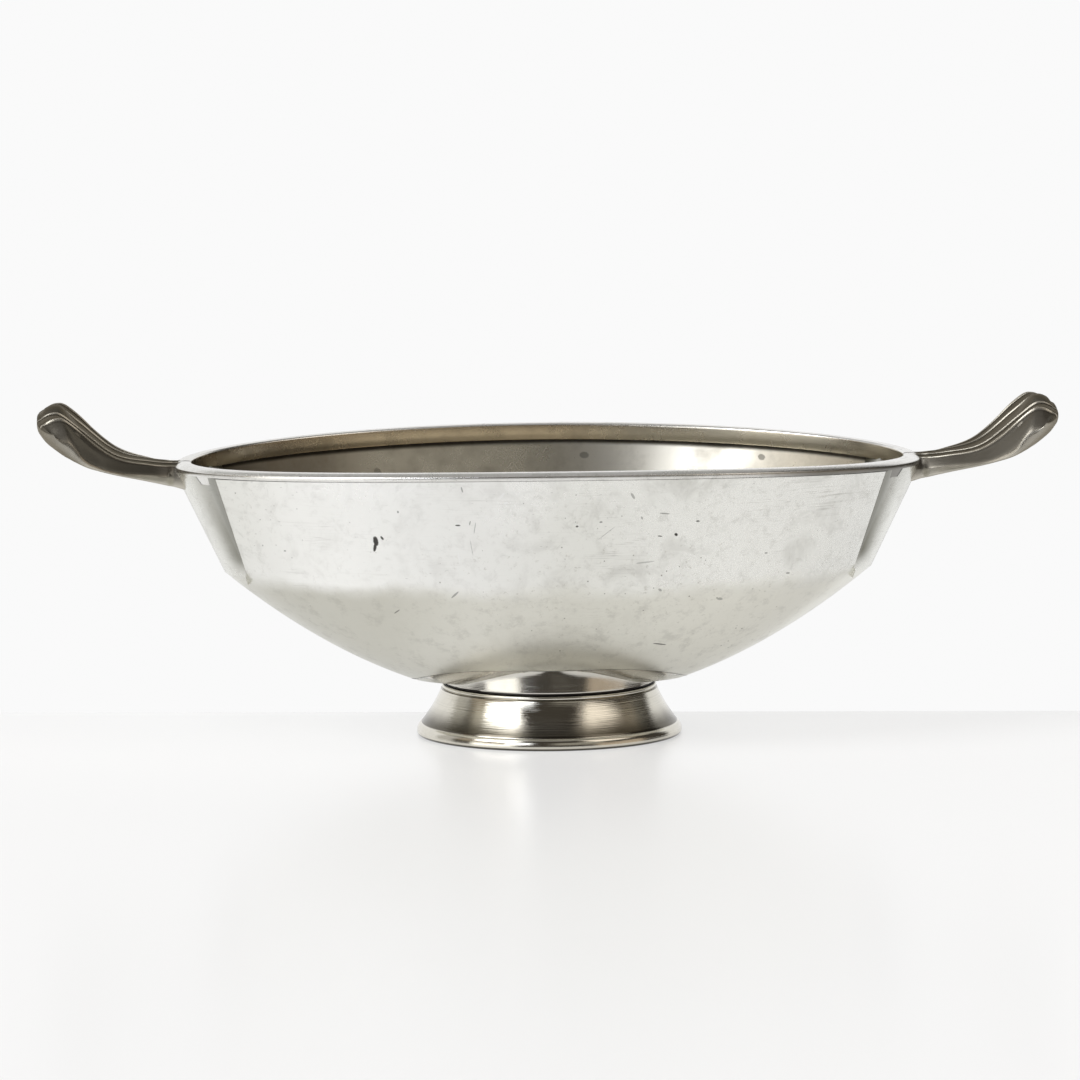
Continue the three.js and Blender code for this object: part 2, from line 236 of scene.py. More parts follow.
def pushed(profile, push, closed=False):
    """Moves a profile at right angles to itself."""
    following = profile[1:] + (profile[:1] if closed else [])
    normals = []
    for (ax, az), (bx, bz) in zip(profile, following):
        far = math.hypot(bx - ax, bz - az)
        normals.append(((bz - az) / far, (ax - bx) / far))
    moved = []
    for i, (x, z) in enumerate(profile):
        before = normals[i - 1] if i or closed else (0, -1)
        after = normals[min(i, len(normals) - 1)]
        scale = push / (1 + before[0] * after[0] + before[1] * after[1])
        moved.append((x + (before[0] + after[0]) * scale, z + (before[1] + after[1]) * scale))
    return moved


def body_profile(reach, top, rise, soften):
    """The bowl's outer line from the flat bottom over the rounded break to the wall's top."""
    dish_steps, bend_steps, wall_steps = 26, 6, 8
    corner = Vector((reach, BREAK_HEIGHT))
    stop = 1 - soften / (reach * (1 - DISH_FLAT))
    line = []
    for i in range(dish_steps):
        size = mix(DISH_FLAT, 1, i / (dish_steps - 1) * stop)
        line.append((reach * size, mix(DISH_FLOOR, BREAK_HEIGHT, rise(size))))
    before = Vector(line.pop())
    after = corner + (Vector(top) - corner).normalized() * soften
    for i in range(bend_steps + 1):
        t = i / bend_steps
        line.append(tuple(before * (1 - t) ** 2 + corner * 2 * t * (1 - t) + after * t * t))
    for i in range(1, wall_steps + 1):
        line.append(tuple(after.lerp(Vector(top), i / wall_steps)))
    return line


def bowl_body():
    length_out = body_profile(BREAK_LENGTH, (WALL_TOP_LENGTH, END_TOP), end_rise, soften=1.2)
    width_out = body_profile(BREAK_WIDTH, (WALL_TOP_WIDTH, MID_TOP), middle_rise, soften=2.6)
    length_in, width_in = pushed(length_out, -WALL), pushed(width_out, -WALL)
    length_in[-1] = (WALL_TOP_LENGTH - WALL * math.hypot(1, LEAN_LENGTH), END_TOP)
    width_in[-1] = (WALL_TOP_WIDTH - WALL * math.hypot(1, LEAN_WIDTH), MID_TOP)
    bottom_out, bottom_in = (0, DISH_FLOOR), (0, DISH_FLOOR + WALL)
    length_line = [bottom_out, *length_out, *length_in[::-1], bottom_in]
    width_line = [bottom_out, *width_out, *width_in[::-1], bottom_in]

    def place(ring, angle):
        (a, end_z), (b, mid_z) = length_line[ring], width_line[ring]
        c, s = math.cos(angle), math.sin(angle)
        return a * c, b * s, end_z * c * c + mid_z * s * s

    piece = oval("bowl_body", len(length_line), place, closed=False)

    # Each end is cut off along its crease, by a block that reaches past the bowl on the other sides
    block_length, block_width, block_top = RIM_LENGTH + 20, 90, RIM_HEIGHT + 10
    for side in (1, -1):
        deselect()
        bpy.ops.mesh.primitive_cube_add(size=2)
        tool = bpy.context.object
        for vertex in tool.data.vertices:
            z = block_top if vertex.co.z > 0 else BREAK_HEIGHT
            x = block_length if vertex.co.x > 0 else crease(z)
            vertex.co = Vector((x * side, block_width * vertex.co.y, z)) * MM
        close_up(tool)
        cut_by(piece, tool)

    def inside(spot):
        if spot.z < BREAK_HEIGHT:
            return float(spot.z > dish_height(spot.x, spot.y) + WALL / 2)
        length, width = wall_length(spot.z) - WALL / 2, wall_width(spot.z) - WALL / 2
        return float(math.hypot(spot.x / length, spot.y / width) < 1)

    paint(piece, "inside", inside)
    return piece


def lobe_arc(z):
    """The end panel at a height: its lobe's radius, where the valley beside it lies, and the crease."""
    crease_y = wall_width(z) * math.sqrt(1 - (crease(z) / wall_length(z)) ** 2)
    opened = max(0, (z - RECESS_START) / (END_TOP - RECESS_START))
    valley_x, valley_y = crease(z) + RECESS_LENGTH * opened, crease_y - RECESS_DEPTH * opened
    rise = wall_length(z) - valley_x
    radius = (valley_y ** 2 + rise ** 2) / (2 * rise)
    return radius, valley_x, valley_y, crease_y


def end_panel(name, side):
    across, up, bevel = 72, 26, 0.2
    usual_reach, middle_height = 130, 0.08
    thickness = WALL * 1.12
    top = RIM_HEIGHT - RIM_CROWN - RIM_FACE - arch(usual_reach)

    def place(column, row):
        z = mix(BREAK_HEIGHT + SEAM, top, row / up)
        radius, valley_x, valley_y, crease_y = lobe_arc(z)
        share = 2 * column / across - 1
        if abs(share) > 1 - bevel:
            t = (abs(share) - 1 + bevel) / bevel
            x, y = mix(valley_x, crease(z), t), mix(valley_y, crease_y, t)
        else:
            angle = math.asin(min(1, valley_y / radius)) * abs(share) / (1 - bevel)
            x, y = wall_length(z) - radius + radius * math.cos(angle), radius * math.sin(angle)
        return (x + SEAM) * side, math.copysign(y, share) * side, z

    piece = sheet(name, across, up, place)
    edit(piece)
    bpy.ops.mesh.normals_make_consistent(inside=False)
    object_mode()
    faces = piece.data.polygons
    middle = min(faces, key=lambda face: abs(face.center.y) + abs(face.center.z - middle_height))
    if middle.normal.x * side < 0:
        flip(piece)
    apply(piece, 'SOLIDIFY', thickness=thickness * MM, offset=-1)
    cut_by(piece, rim_ring("rim_room", grown=SEAM))
    close_up(piece)

    def inside(spot):
        radius, valley_x, valley_y, _ = lobe_arc(spot.z)
        y = min(abs(spot.y), valley_y)
        face = wall_length(spot.z) - radius + math.sqrt(radius ** 2 - y ** 2)
        face = mix(face, crease(spot.z), ease(0, RECESS_DEPTH, abs(spot.y) - valley_y))
        return float(abs(spot.x) < face - WALL / 2)

    # Where the hollow beside the crease gets painted shade
    def hollow(spot):
        _, _, valley_y, crease_y = lobe_arc(spot.z)
        start = ease(BREAK_HEIGHT, BREAK_HEIGHT + 9, spot.z)
        return start * ease(valley_y * 0.5, mix(valley_y, crease_y, 0.8), abs(spot.y)) ** 1.5

    paint(piece, "inside", inside)
    paint(piece, "hollow", hollow)
    return piece


def rim_section():
    """How far in from the outer edge at the ends and at the middles, and how high, clockwise."""
    under = RIM_CROWN + RIM_FACE
    bevel, fall, rounding = 0.25, 0.12, 1.1
    ridge, edge = RIM_TOP_WIDTH * 0.55, RIM_TOP_WIDTH - rounding
    ridge_steps, edge_steps, round_steps = 8, 6, 6

    def inner(up):
        end_z, mid_z = RIM_HEIGHT - RIM_ARCH + up, RIM_HEIGHT + up
        return (
            RIM_LENGTH - wall_length(end_z) + (WALL + SEAM) * math.hypot(1, LEAN_LENGTH),
            RIM_WIDTH - wall_width(mid_z) + (WALL + SEAM) * math.hypot(1, LEAN_WIDTH),
            up,
        )

    line = [(0, -under + 0.35), (0, -RIM_CROWN - 0.5), (0.06, -RIM_CROWN - 0.22), (bevel, -RIM_CROWN)]
    for i in range(1, ridge_steps + 1):
        t = i / ridge_steps
        line.append((mix(bevel, ridge, t), -RIM_CROWN * (1 - t) ** 2))
    for i in range(1, edge_steps + 1):
        t = i / edge_steps
        line.append((mix(ridge, edge, t), -fall * t ** 2))
    for i in range(1, round_steps + 1):
        turn = i / round_steps * math.pi / 2
        line.append((edge + rounding * math.sin(turn), -fall - rounding * (1 - math.cos(turn))))
    line += [(RIM_TOP_WIDTH, -3.5), (RIM_TOP_WIDTH, 0.5 - RIM_SKIRT)]
    line += [(RIM_TOP_WIDTH - 0.15, 0.14 - RIM_SKIRT), (RIM_TOP_WIDTH - 0.5, -RIM_SKIRT)]
    section = [(inset, inset, up) for inset, up in line] + [inner(-RIM_SKIRT), inner(-under)]
    return section + [(0.4, 0.4, -under), (0.12, 0.12, -under + 0.1)]


def rim_ring(name, grown=0.0):
    """The rim, or the room for it where it is grown by a seam."""
    section = rim_section()
    if grown:
        moved = pushed([(end_in, up) for end_in, _, up in section], -grown, closed=True)
        section = [(x, mid_in + (x - end_in), z) for (end_in, mid_in, _), (x, z) in zip(section, moved)]

    def place(ring, angle):
        end_in, mid_in, up = section[ring]
        x = (RIM_LENGTH - end_in) * math.cos(angle)
        y = (RIM_WIDTH - mid_in) * math.sin(angle)
        return x, y, RIM_HEIGHT - arch(x) + up

    piece = oval(name, len(section), place)

    def inside(spot):
        inset = RIM_TOP_WIDTH - 0.3
        reach = math.hypot(spot.x / (RIM_LENGTH - inset), spot.y / (RIM_WIDTH - inset))
        return float(reach < 1 and spot.z < RIM_HEIGHT - arch(spot.x) - 0.9)

    paint(piece, "inside", inside)
    return piece


def collar():
    """A cove from the round foot up to the oval dish, with a groove at its foot and a plain bore."""
    low = FOOT_HEIGHT + SEAM
    rings = 30

    def place(ring, angle):
        c, s = math.cos(angle), math.sin(angle)
        size = abs(c / COLLAR_LENGTH) ** COLLAR_SQUARENESS + abs(s / COLLAR_WIDTH) ** COLLAR_SQUARENESS
        reach = size ** (-1 / COLLAR_SQUARENESS)
        if ring < rings:
            share = ring / (rings - 1)
            waist = COLLAR_WAIST * s * s
            radius = NECK_RADIUS - waist * share
            radius += (reach - NECK_RADIUS + waist) * share ** (2 + 9 * s * s)
            z = mix(low, dish_height(reach * c, reach * s) - SEAM, share)
            radius -= GROOVE_DEPTH * (1 - ease(GROOVE_LOW, GROOVE_HIGH, z - low))
        elif ring < rings + 2:
            radius = mix(COLLAR_BORE, reach, 0.5) if ring == rings else COLLAR_BORE
            z = dish_height(radius * c, radius * s) - SEAM
        else:
            radius, z = COLLAR_BORE, low
        return radius * c, radius * s, z

    return oval("neck_cove", rings + 3, place, steps=200)


def foot():
    """The foot's outline in radius and height: underside, flange, flare, bead, top and hollow."""
    line = [(45.1, 0), (48.6, 0), (48.85, 0.06), (49.25, 0.4), (49.45, 0.8), (49.5, 1.2)]
    for turn in (0.1, 0.35, 0.6, 0.85, 1.1, 1.35):
        line.append((49.5 - 1.7 * (1 - math.cos(turn)), 1.3 + 3.1 * math.sin(turn)))
    line += [(47.85, 4.42), (47.75, 4.55)]
    flare_steps = 16
    for i in range(flare_steps + 1):
        t = i / flare_steps
        line.append((mix(47.7, 40.45, t) - 0.55 * math.sin(t * math.pi) ** 0.8, mix(4.75, 17.15, t)))
    line += [(40.4, 17.3), (40.2, 17.4), (39.75, 17.5), (39.5, 17.62), (39.55, 17.75), (39.9, 17.85)]
    line += [(40.08, 18.1), (40.1, 18.4), (40.0, 18.7), (39.75, 18.95), (39.3, 19.1), (38.9, 19.2)]
    line += [(38.7, FOOT_HEIGHT), (COLLAR_BORE, FOOT_HEIGHT), (38.1, 17.0), (43.8, 4.9)]
    return turned("turned_foot", line)


# The handle's side view, as shares of its length and its rise
HANDLE_TOP = [
    (-0.08, -0.08), (0.05, -0.075), (0.2, -0.01), (0.44, 0.19), (0.69, 0.675), (0.82, 0.935),
    (0.885, 0.968), (0.94, 0.92), (0.975, 0.84),
]
HANDLE_UNDER = [
    (-0.08, -0.48), (0.03, -0.4), (0.2, -0.28), (0.49, -0.055), (0.78, 0.2), (0.92, 0.42),
    (0.985, 0.61), (0.996, 0.68),
]
# Ribs from the middle outwards: share of the half-width, height on the shank and at the tip, and how
# bright they are painted: worn bright on the ridges, darker between them, painted shade down the side
HANDLE_RIBS = [
    (0, -0.9, 1.3, 0.25), (0.06, -0.88, 1.25, 0.25), (0.12, -0.82, 1.05, 0.2),
    (0.19, -0.72, 0.55, 0.15), (0.24, -0.65, -0.15, 0.1), (0.262, -0.62, -0.5, 0.0),
    (0.272, -0.55, -0.55, 0.1), (0.283, -0.08, -0.25, 0.7), (0.3, 0, -0.17, 1.0),
    (0.32, -0.05, -0.25, 0.7), (0.333, -0.55, -0.85, 0.15), (0.345, -0.72, -1.0, 0.0),
    (0.42, -0.74, -0.95, 0.15), (0.52, -0.7, -0.9, 0.25), (0.61, -0.62, -1.0, 0.15),
    (0.66, -0.58, -1.15, 0.0), (0.672, -0.5, -1.18, 0.1), (0.684, -0.08, -0.85, 0.7),
    (0.702, 0, -0.72, 1.0), (0.72, -0.06, -0.8, 0.7), (0.733, -0.7, -1.6, 0.1),
    (0.745, -1.0, -1.9, 0.05), (0.775, -1.5, -2.3, 0.1), (0.81, -2.1, -2.9, 0.15),
    (0.85, -2.7, -3.7, 0.15), (0.89, -3.4, -4.8, 0.17), (0.925, -4.1, -6.0, 0.2),
    (0.955, -4.7, -7.3, 0.24), (0.975, -5.2, -8.5, 0.27), (0.99, -5.6, -9.7, 0.3),
    (1, -5.9, -11.2, 0.33),
]
# Ribs farther out than this share of the half-width are the rounded side
SIDE_START = 0.76
# The rows beyond this share of the handle close over its tip
TIP_START = 0.94
VIEW_STEPS, UNDER_STEPS = 400, 24


def smooth_line(points, samples=VIEW_STEPS):
    """Evenly spaced points on a smooth curve through the given ones."""
    last, fineness = len(points) - 1, 40
    fine = []
    for i in range(last):
        p0, p1, p2, p3 = (Vector(points[max(0, min(last, j))]) for j in range(i - 1, i + 3))
        for step in range(fineness):
            t = step / fineness
            fine.append(0.5 * (2 * p1 + (p2 - p0) * t + (2 * p0 - 5 * p1 + 4 * p2 - p3) * t * t
                               + (3 * p1 - p0 - 3 * p2 + p3) * t ** 3))
    fine.append(Vector(points[-1]))
    lengths = [0.0]
    for a, b in zip(fine, fine[1:]):
        lengths.append(lengths[-1] + (b - a).length)
    line, j = [], 0
    for i in range(samples + 1):
        want = lengths[-1] * i / samples
        while j < len(fine) - 2 and lengths[j + 1] < want:
            j += 1
        t = (want - lengths[j]) / max(1e-9, lengths[j + 1] - lengths[j])
        line.append(fine[j].lerp(fine[j + 1], min(1, t)))
    return line


def side_view(points):
    """One line of the handle's side view, in millimetres."""
    long, low = HANDLE_REACH - HANDLE_ROOT, RIM_HEIGHT - RIM_ARCH
    return smooth_line([(HANDLE_ROOT + long * x, low + HANDLE_RISE * z) for x, z in points])


def denser(table):
    """A table's rows with their means between them."""
    rows = [Vector(row) for row in table]
    dense = []
    for a, b in zip(rows, rows[1:]):
        dense += [a, (a + b) / 2]
    return dense + rows[-1:]


def handle_section(top, under, ribs):
    """One half of the section, from the middle of the top to the middle of the underside."""
    share = (top.x - HANDLE_ROOT) / (HANDLE_REACH - HANDLE_ROOT)
    rise = top - under
    height = rise.length
    rise.normalize()
    half = mix(ROOT_HALF, FAN_HALF, ease(0, 0.73, share)) * mix(0.86, 1, ease(0.02, 0.075, share))
    tip, side_tip = ease(0.69, 0.85, share), ease(0.3, 0.88, share)
    crown = 2 * (1 - ease(0.03, 0.53, share))
    fall = FAN_FALL * ease(0.57, 0.85, share)
    size = (0.55 + 0.45 * ease(0.13, 0.51, share)) * min(1, height / ROOT_HEIGHT)
    deepest = 0.85 * height
    section = []
    for wide, shank, end, bright in ribs:
        drop = mix(shank, end, side_tip if wide > SIDE_START else tip) * size
        if drop < 0:
            drop = -((-drop) ** -4 + deepest ** -4) ** -0.25
        section.append((wide, height + drop + crown * (1 - wide ** 2), bright))
    edge = section[-1][1]
    low = smooth_line([(1, edge), (1.006, edge * 0.6), (0.99, edge * 0.3), (0.95, edge * 0.12),
                       (0.87, edge * 0.03), (0.7, 0), (0.35, 0), (0, 0)], UNDER_STEPS)
    # The underside: a painted reflection, light along the shank and darker towards the tip and up the
    # side
    shine = mix(0.9, 0.36, ease(0.4, 0.75, share))
    section += [(wide, level, mix(shine, 0.33, level / edge)) for wide, level in low[1:]]
    return [(under.x + rise.x * level - fall * wide ** 4, wide * half, under.y + rise.y * level, bright)
            for wide, level, bright in section]


def level_at(line, out):
    """The height of one side of a section, so far out from the middle."""
    for a, b in zip(line, line[1:]):
        if a[1] <= out <= b[1] and b[1] > a[1]:
            return mix(a[2], b[2], (out - a[1]) / (b[1] - a[1]))
    return line[-1][2]


def handle(name, side):
    up = 110
    top_line, under_line = side_view(HANDLE_TOP), side_view(HANDLE_UNDER)
    ribs = denser(HANDLE_RIBS)
    rows = []
    for row in range(up + 1):
        at = round(min(1, row / up / TIP_START) * VIEW_STEPS)
        rows.append(handle_section(top_line[at], under_line[at], ribs))
    middle = len(rows[0]) - 1

    end = rows[-1]
    upper, lower = end[:len(ribs)], end[:len(ribs) - 2:-1]
    nose = [(HANDLE_REACH - FAN_FALL * (y / FAN_HALF) ** 4, (level_at(upper, y) + level_at(lower, y)) / 2)
            for _, y, _, _ in end]
    # Each vertex's paint value: wear on the ridges, and painted shade and painted reflection on the side
    # and underside
    wear_and_shading = []

    def place(column, row):
        index = abs(middle - column)
        x, y, z, bright = rows[row][index]
        along = row / up
        if along > TIP_START:
            turn = (along - TIP_START) / (1 - TIP_START) * math.pi / 2
            x = mix(x, nose[index][0], math.sin(turn))
            z = mix(z, nose[index][1], 0.85 * (1 - math.cos(turn)))
        wear_and_shading.append(bright)
        return x * side, math.copysign(y, middle - column) * side, z

    piece = sheet(name, 2 * middle, up, place)
    shares = iter(wear_and_shading)
    paint(piece, "wear_and_shading", lambda spot: next(shares))
    edit(piece)
    bpy.ops.mesh.remove_doubles(threshold=MERGE_DISTANCE)
    bpy.ops.mesh.select_all(action='DESELECT')
    bpy.ops.mesh.select_non_manifold()
    bpy.ops.mesh.edge_face_add()
    object_mode()
    close_up(piece)
    return piece


class Value:
    """A socket that holds a number, with the usual arithmetic."""

    def __init__(self, nodes, socket):
        self.nodes, self.socket = nodes, socket

    def math(self, operation, *others):
        node = self.nodes.node('Math', {'operation': operation})
        for place, other in zip(node.inputs, (self, *others)):
            self.nodes.put(place, other)
        return Value(self.nodes, node.outputs[0])

    def __add__(self, other):
        return self.math('ADD', other)

    def __sub__(self, other):
        return self.math('SUBTRACT', other)

    def __mul__(self, other):
        return self.math('MULTIPLY', other)

    def __abs__(self):
        return self.math('ABSOLUTE')

    def most(self, other):
        return self.math('MAXIMUM', other)


class Nodes:
    """A node tree, of a material or of the world."""

    def __init__(self, tree):
        self.tree = tree
        self.tree.nodes.clear()

    def put(self, place, value):
        if isinstance(value, Value):
            value = value.socket
        if isinstance(value, bpy.types.NodeSocket):
            self.tree.links.new(value, place)
        elif isinstance(value, tuple) and len(value) == 3 and place.type == 'RGBA':
            place.default_value = (*value, 1)
        else:
            place.default_value = value

    def node(self, kind, settings=None, **sockets):
        node = self.tree.nodes.new('ShaderNode' + kind)
        for key, value in (settings or {}).items():
            setattr(node, key, value)
        for key, value in sockets.items():
            self.put(node.inputs[key.replace('_', ' ')], value)
        return node

    def value(self, node, output=0):
        return Value(self, node.outputs[output])

    def axes(self, vector):
        return [Value(self, socket) for socket in self.node('SeparateXYZ', Vector=vector).outputs]

    def here(self):
        """The place on the object, in metres."""
        return self.axes(self.node('TexCoord').outputs['Object'])

    def spot(self, seed=0.0, turn=(0, 0, 0), scale=(1, 1, 1)):
        """Object coordinates in metres, scaled, turned and moved by the seed."""
        return self.node('Mapping', Vector=self.node('TexCoord').outputs['Object'], Rotation=turn,
                         Scale=scale, Location=(seed, seed * 0.7, seed * 1.3)).outputs[0]

    def noise(self, count, detail=2.0, rough=0.5, twist=0.0, **spot):
        return self.value(self.node('TexNoise', Vector=self.spot(**spot), Scale=count, Detail=detail,
                                    Roughness=rough, Distortion=twist))

    def step(self, value, low, high):
        """Rises smoothly from 0 at low to 1 at high, or falls where high is the lower."""
        falls = high < low
        return self.value(self.node('MapRange', {'interpolation_type': 'SMOOTHSTEP'}, Value=value,
                                    From_Min=min(low, high), From_Max=max(low, high),
                                    To_Min=float(falls), To_Max=float(not falls)))

    def patches(self, low, high, count, **noise):
        """The high spots of a noise, from none at low to full at high."""
        return self.step(self.noise(count, **noise), low, high)

    def blend(self, share, a, b):
        node = self.node('Mix', {'data_type': 'RGBA'})
        self.put(node.inputs[0], share)
        for place, colour in zip([s for s in node.inputs if s.type == 'RGBA'], (a, b)):
            self.put(place, colour)
        return next(s for s in node.outputs if s.type == 'RGBA')

    def rays(self, *kinds):
        """1 for rays of these kinds, 0 for all others."""
        outputs = self.node('LightPath').outputs
        share = Value(self, outputs['Is ' + kinds[0] + ' Ray'])
        for kind in kinds[1:]:
            share = share.most(Value(self, outputs['Is ' + kind + ' Ray']))
        return share


class Metal(Nodes):
    """A material that is built up coat by coat: its colour, its roughness and its height."""

    def __init__(self, name, colour, roughness):
        self.material = bpy.data.materials.new(name)
        self.material.use_nodes = True
        super().__init__(self.material.node_tree)
        grain = 1300
        self.colour = colour
        self.roughness = self.noise(grain, seed=10) * 0.06 + (roughness - 0.03)
        self.height = self.noise(grain) * 0.1

    def coat(self, share, colour, rough=0.0, high=0.0):
        """Lays a colour over a share of the surface, and roughens or raises it there."""
        self.colour = self.blend(share, self.colour, colour)
        if rough:
            self.roughness = share * rough + self.roughness
        if high:
            self.height = share * high + self.height

    def share(self, name):
        """A share that paint has written on the vertices."""
        return self.value(self.node('Attribute', {'attribute_name': name}), 'Fac')

    def specks(self, count, size, often, **spot):
        """Small dots, one in a share of the cells."""
        cells = self.node('TexVoronoi', Vector=self.spot(**spot), Scale=count)
        chosen = Value(self, self.node('SeparateColor', Color=cells.outputs['Color']).outputs[0])
        dots = self.step(self.value(cells, 'Distance'), size, size * 0.45)
        return dots * self.step(chosen, 1 - often, 1.005 - often)

    def scratches(self, turn, width, seed, often=0.56, patch=26, long=16, fine=850):
        """Thin broken lines that run one way across the front and the back."""
        lines = self.noise(1.0, detail=1, seed=seed, turn=(0, turn, 0), scale=(long, long, fine))
        where = self.patches(often, often + 0.12, patch, seed=seed + 4)
        return self.step(abs(lines - 0.5), width, 0.0) * where

    def mark(self, x, z, long, thick, tilt, fray):
        """One frayed dent or scratch on the front, at its place in millimetres."""
        spot = self.node('Mapping', {'vector_type': 'TEXTURE'},
                         Vector=self.node('TexCoord').outputs['Object'],
                         Location=(x * MM, 0, z * MM), Rotation=(0, math.radians(tilt), 0),
                         Scale=(long * MM, 100, thick * MM)).outputs[0]
        far = self.value(self.node('VectorMath', {'operation': 'LENGTH'}, Vector=spot), 'Value')
        return self.step(far + (fray - 0.5) * 0.5, 1.1, 0.75)

    def marks(self, table, fray):
        """All the marks of a table in one share."""
        share = None
        for *shape, strong in table:
            mark = self.mark(*shape, fray) * strong
            share = mark if share is None else share.most(mark)
        return share

    def shader(self, strength=0.3, metallic=1.0, specular=0.5, edges=(1, 1, 1)):
        bump = self.node('Bump', Height=self.height, Strength=strength, Distance=0.0002)
        return self.node('BsdfPrincipled', Base_Color=self.colour, Roughness=self.roughness,
                         Metallic=metallic, Specular_IOR_Level=specular, Specular_Tint=edges,
                         Normal=bump.outputs[0]).outputs[0]

    def finish(self, **settings):
        self.node('OutputMaterial', Surface=self.shader(**settings))
        return self.material


DIRT = (0.10, 0.092, 0.076)
GREY = (0.42, 0.41, 0.37)
PIT = (0.035, 0.032, 0.028)
SEAM_SHADE = (0.05, 0.045, 0.04)


def worn(metal, dull, wear=1.0):
    """The drifts, haze, specks and scratches that all the pewter has."""
    metal.coat(metal.patches(0.36, 0.66, 13, detail=3, seed=1) * 0.7, dull, rough=0.03)
    haze = metal.patches(0.48, 0.74, 60, detail=5, rough=0.66, twist=0.6, seed=2)
    metal.coat(haze * (0.3 * wear), GREY, rough=0.12)
    mottle = metal.patches(0.5, 0.7, 210, detail=5, rough=0.72, twist=0.4, seed=3)
    metal.coat(mottle * (0.26 * wear), GREY)
    crowd = metal.patches(0.42, 0.62, 24, detail=3, seed=5) * 0.8 + 0.2
    dots = metal.specks(520, 0.17, 0.1, seed=1).most(metal.specks(290, 0.12, 0.1, seed=7)) * 0.7
    dashes = metal.specks(150, 0.1, 0.26, seed=3, turn=(0, 0.5, 0), scale=(1, 1, 5))
    dashes = dashes.most(metal.specks(150, 0.1, 0.26, seed=9, turn=(0, -0.9, 0), scale=(1, 1, 5))) * 0.6
    metal.coat(dots.most(dashes) * crowd * wear, DIRT)
    lines = metal.scratches(0.5, 0.014, 1).most(metal.scratches(1.25, 0.012, 3))
    metal.coat(lines * (0.42 * wear), GREY, rough=0.12, high=-0.25)
    metal.coat(metal.scratches(-0.6, 0.007, 6) * (0.35 * wear), (0.93, 0.93, 0.91))
    metal.height = metal.height + (metal.noise(34, seed=6) - 0.5) * 0.9


def inner_shade_and_stains(metal, colour=(0.62, 0.58, 0.49), strong=0.9):
    """The inner side: painted shade and a warm painted reflection, with cloudy stains over it."""
    inner = metal.share("inside")
    cloud = metal.patches(0.42, 0.7, 70, detail=4, rough=0.6, seed=11)
    # Painted shade and warm painted reflection over the inner side
    metal.coat(inner * strong, colour)
    metal.coat(inner * cloud * 0.35, (0.2, 0.175, 0.13), rough=0.15)


def level(x, z):
    """The height with the rim's dip towards the ends taken out, in metres."""
    return z + x * x * (RIM_ARCH / RIM_LENGTH ** 2 / MM)


# Marks on the front, and smudges on the inside of the back: place along and up, half-length and
# half-thickness in millimetres, tilt in degrees, strength
DENTS = [
    (-65.6, 80.9, 2.1, 0.95, 78, 0.95), (-65.9, 78.6, 1.8, 0.62, 100, 0.95),
    (-63.3, 82.2, 0.9, 0.42, 50, 0.9), (-35.6, 87.6, 1.0, 0.3, 0, 0.9), (44.7, 82.9, 0.7, 0.55, 20, 0.95),
]
MARKS = [
    (38.7, 82.5, 0.95, 0.28, 8, 0.75), (52.8, 87.7, 0.7, 0.4, 5, 0.75), (8.1, 87.0, 0.5, 0.38, 0, 0.9),
    (39.5, 38.8, 2.7, 0.26, 10, 0.8), (40.5, 91.1, 2.1, 0.25, 5, 0.5), (28.6, 98.2, 1.5, 0.5, 60, 0.45),
    (-34.1, 101.2, 1.2, 0.3, 75, 0.5), (-31.2, 88.5, 0.9, 0.22, 100, 0.6),
    (-29.4, 86.6, 2.4, 0.2, 98, 0.4), (-36.6, 60.8, 2.0, 0.4, -45, 0.5),
    (-30.6, 79.0, 3.4, 0.18, 80, 0.3), (-57.8, 53.2, 1.4, 0.28, -40, 0.6),
    (19.1, 84.3, 4.2, 0.16, -38, 0.35), (33.2, 72.6, 3.6, 0.3, -5, 0.35), (16.9, 88.5, 0.6, 0.35, 0, 0.6),
    (32.0, 89.7, 0.7, 0.35, 70, 0.5), (78.5, 73.9, 0.6, 0.3, 0, 0.6), (61.4, 56.8, 1.2, 0.6, 10, 0.45),
    (86.9, 65.4, 0.8, 0.4, 0, 0.5), (-57.5, 92.4, 0.5, 0.35, 80, 0.6), (-98.8, 75.4, 0.5, 0.3, 0, 0.5),
    (38.9, 61.7, 0.8, 0.5, 40, 0.45),
]
CHIPS = [
    (-19.5, 98.9, 1.6, 0.5, -55, 0.7), (-18.0, 96.2, 0.9, 0.5, -30, 0.7),
    (-35.2, 75.1, 2.4, 0.25, 80, 0.6),
]
SMUDGES = [(16.5, 95.2, 1.9, 1.3, 0, 0.45), (83, 95.5, 1.4, 1.2, 10, 0.6), (-62, 91, 1.6, 1.2, 30, 0.4)]


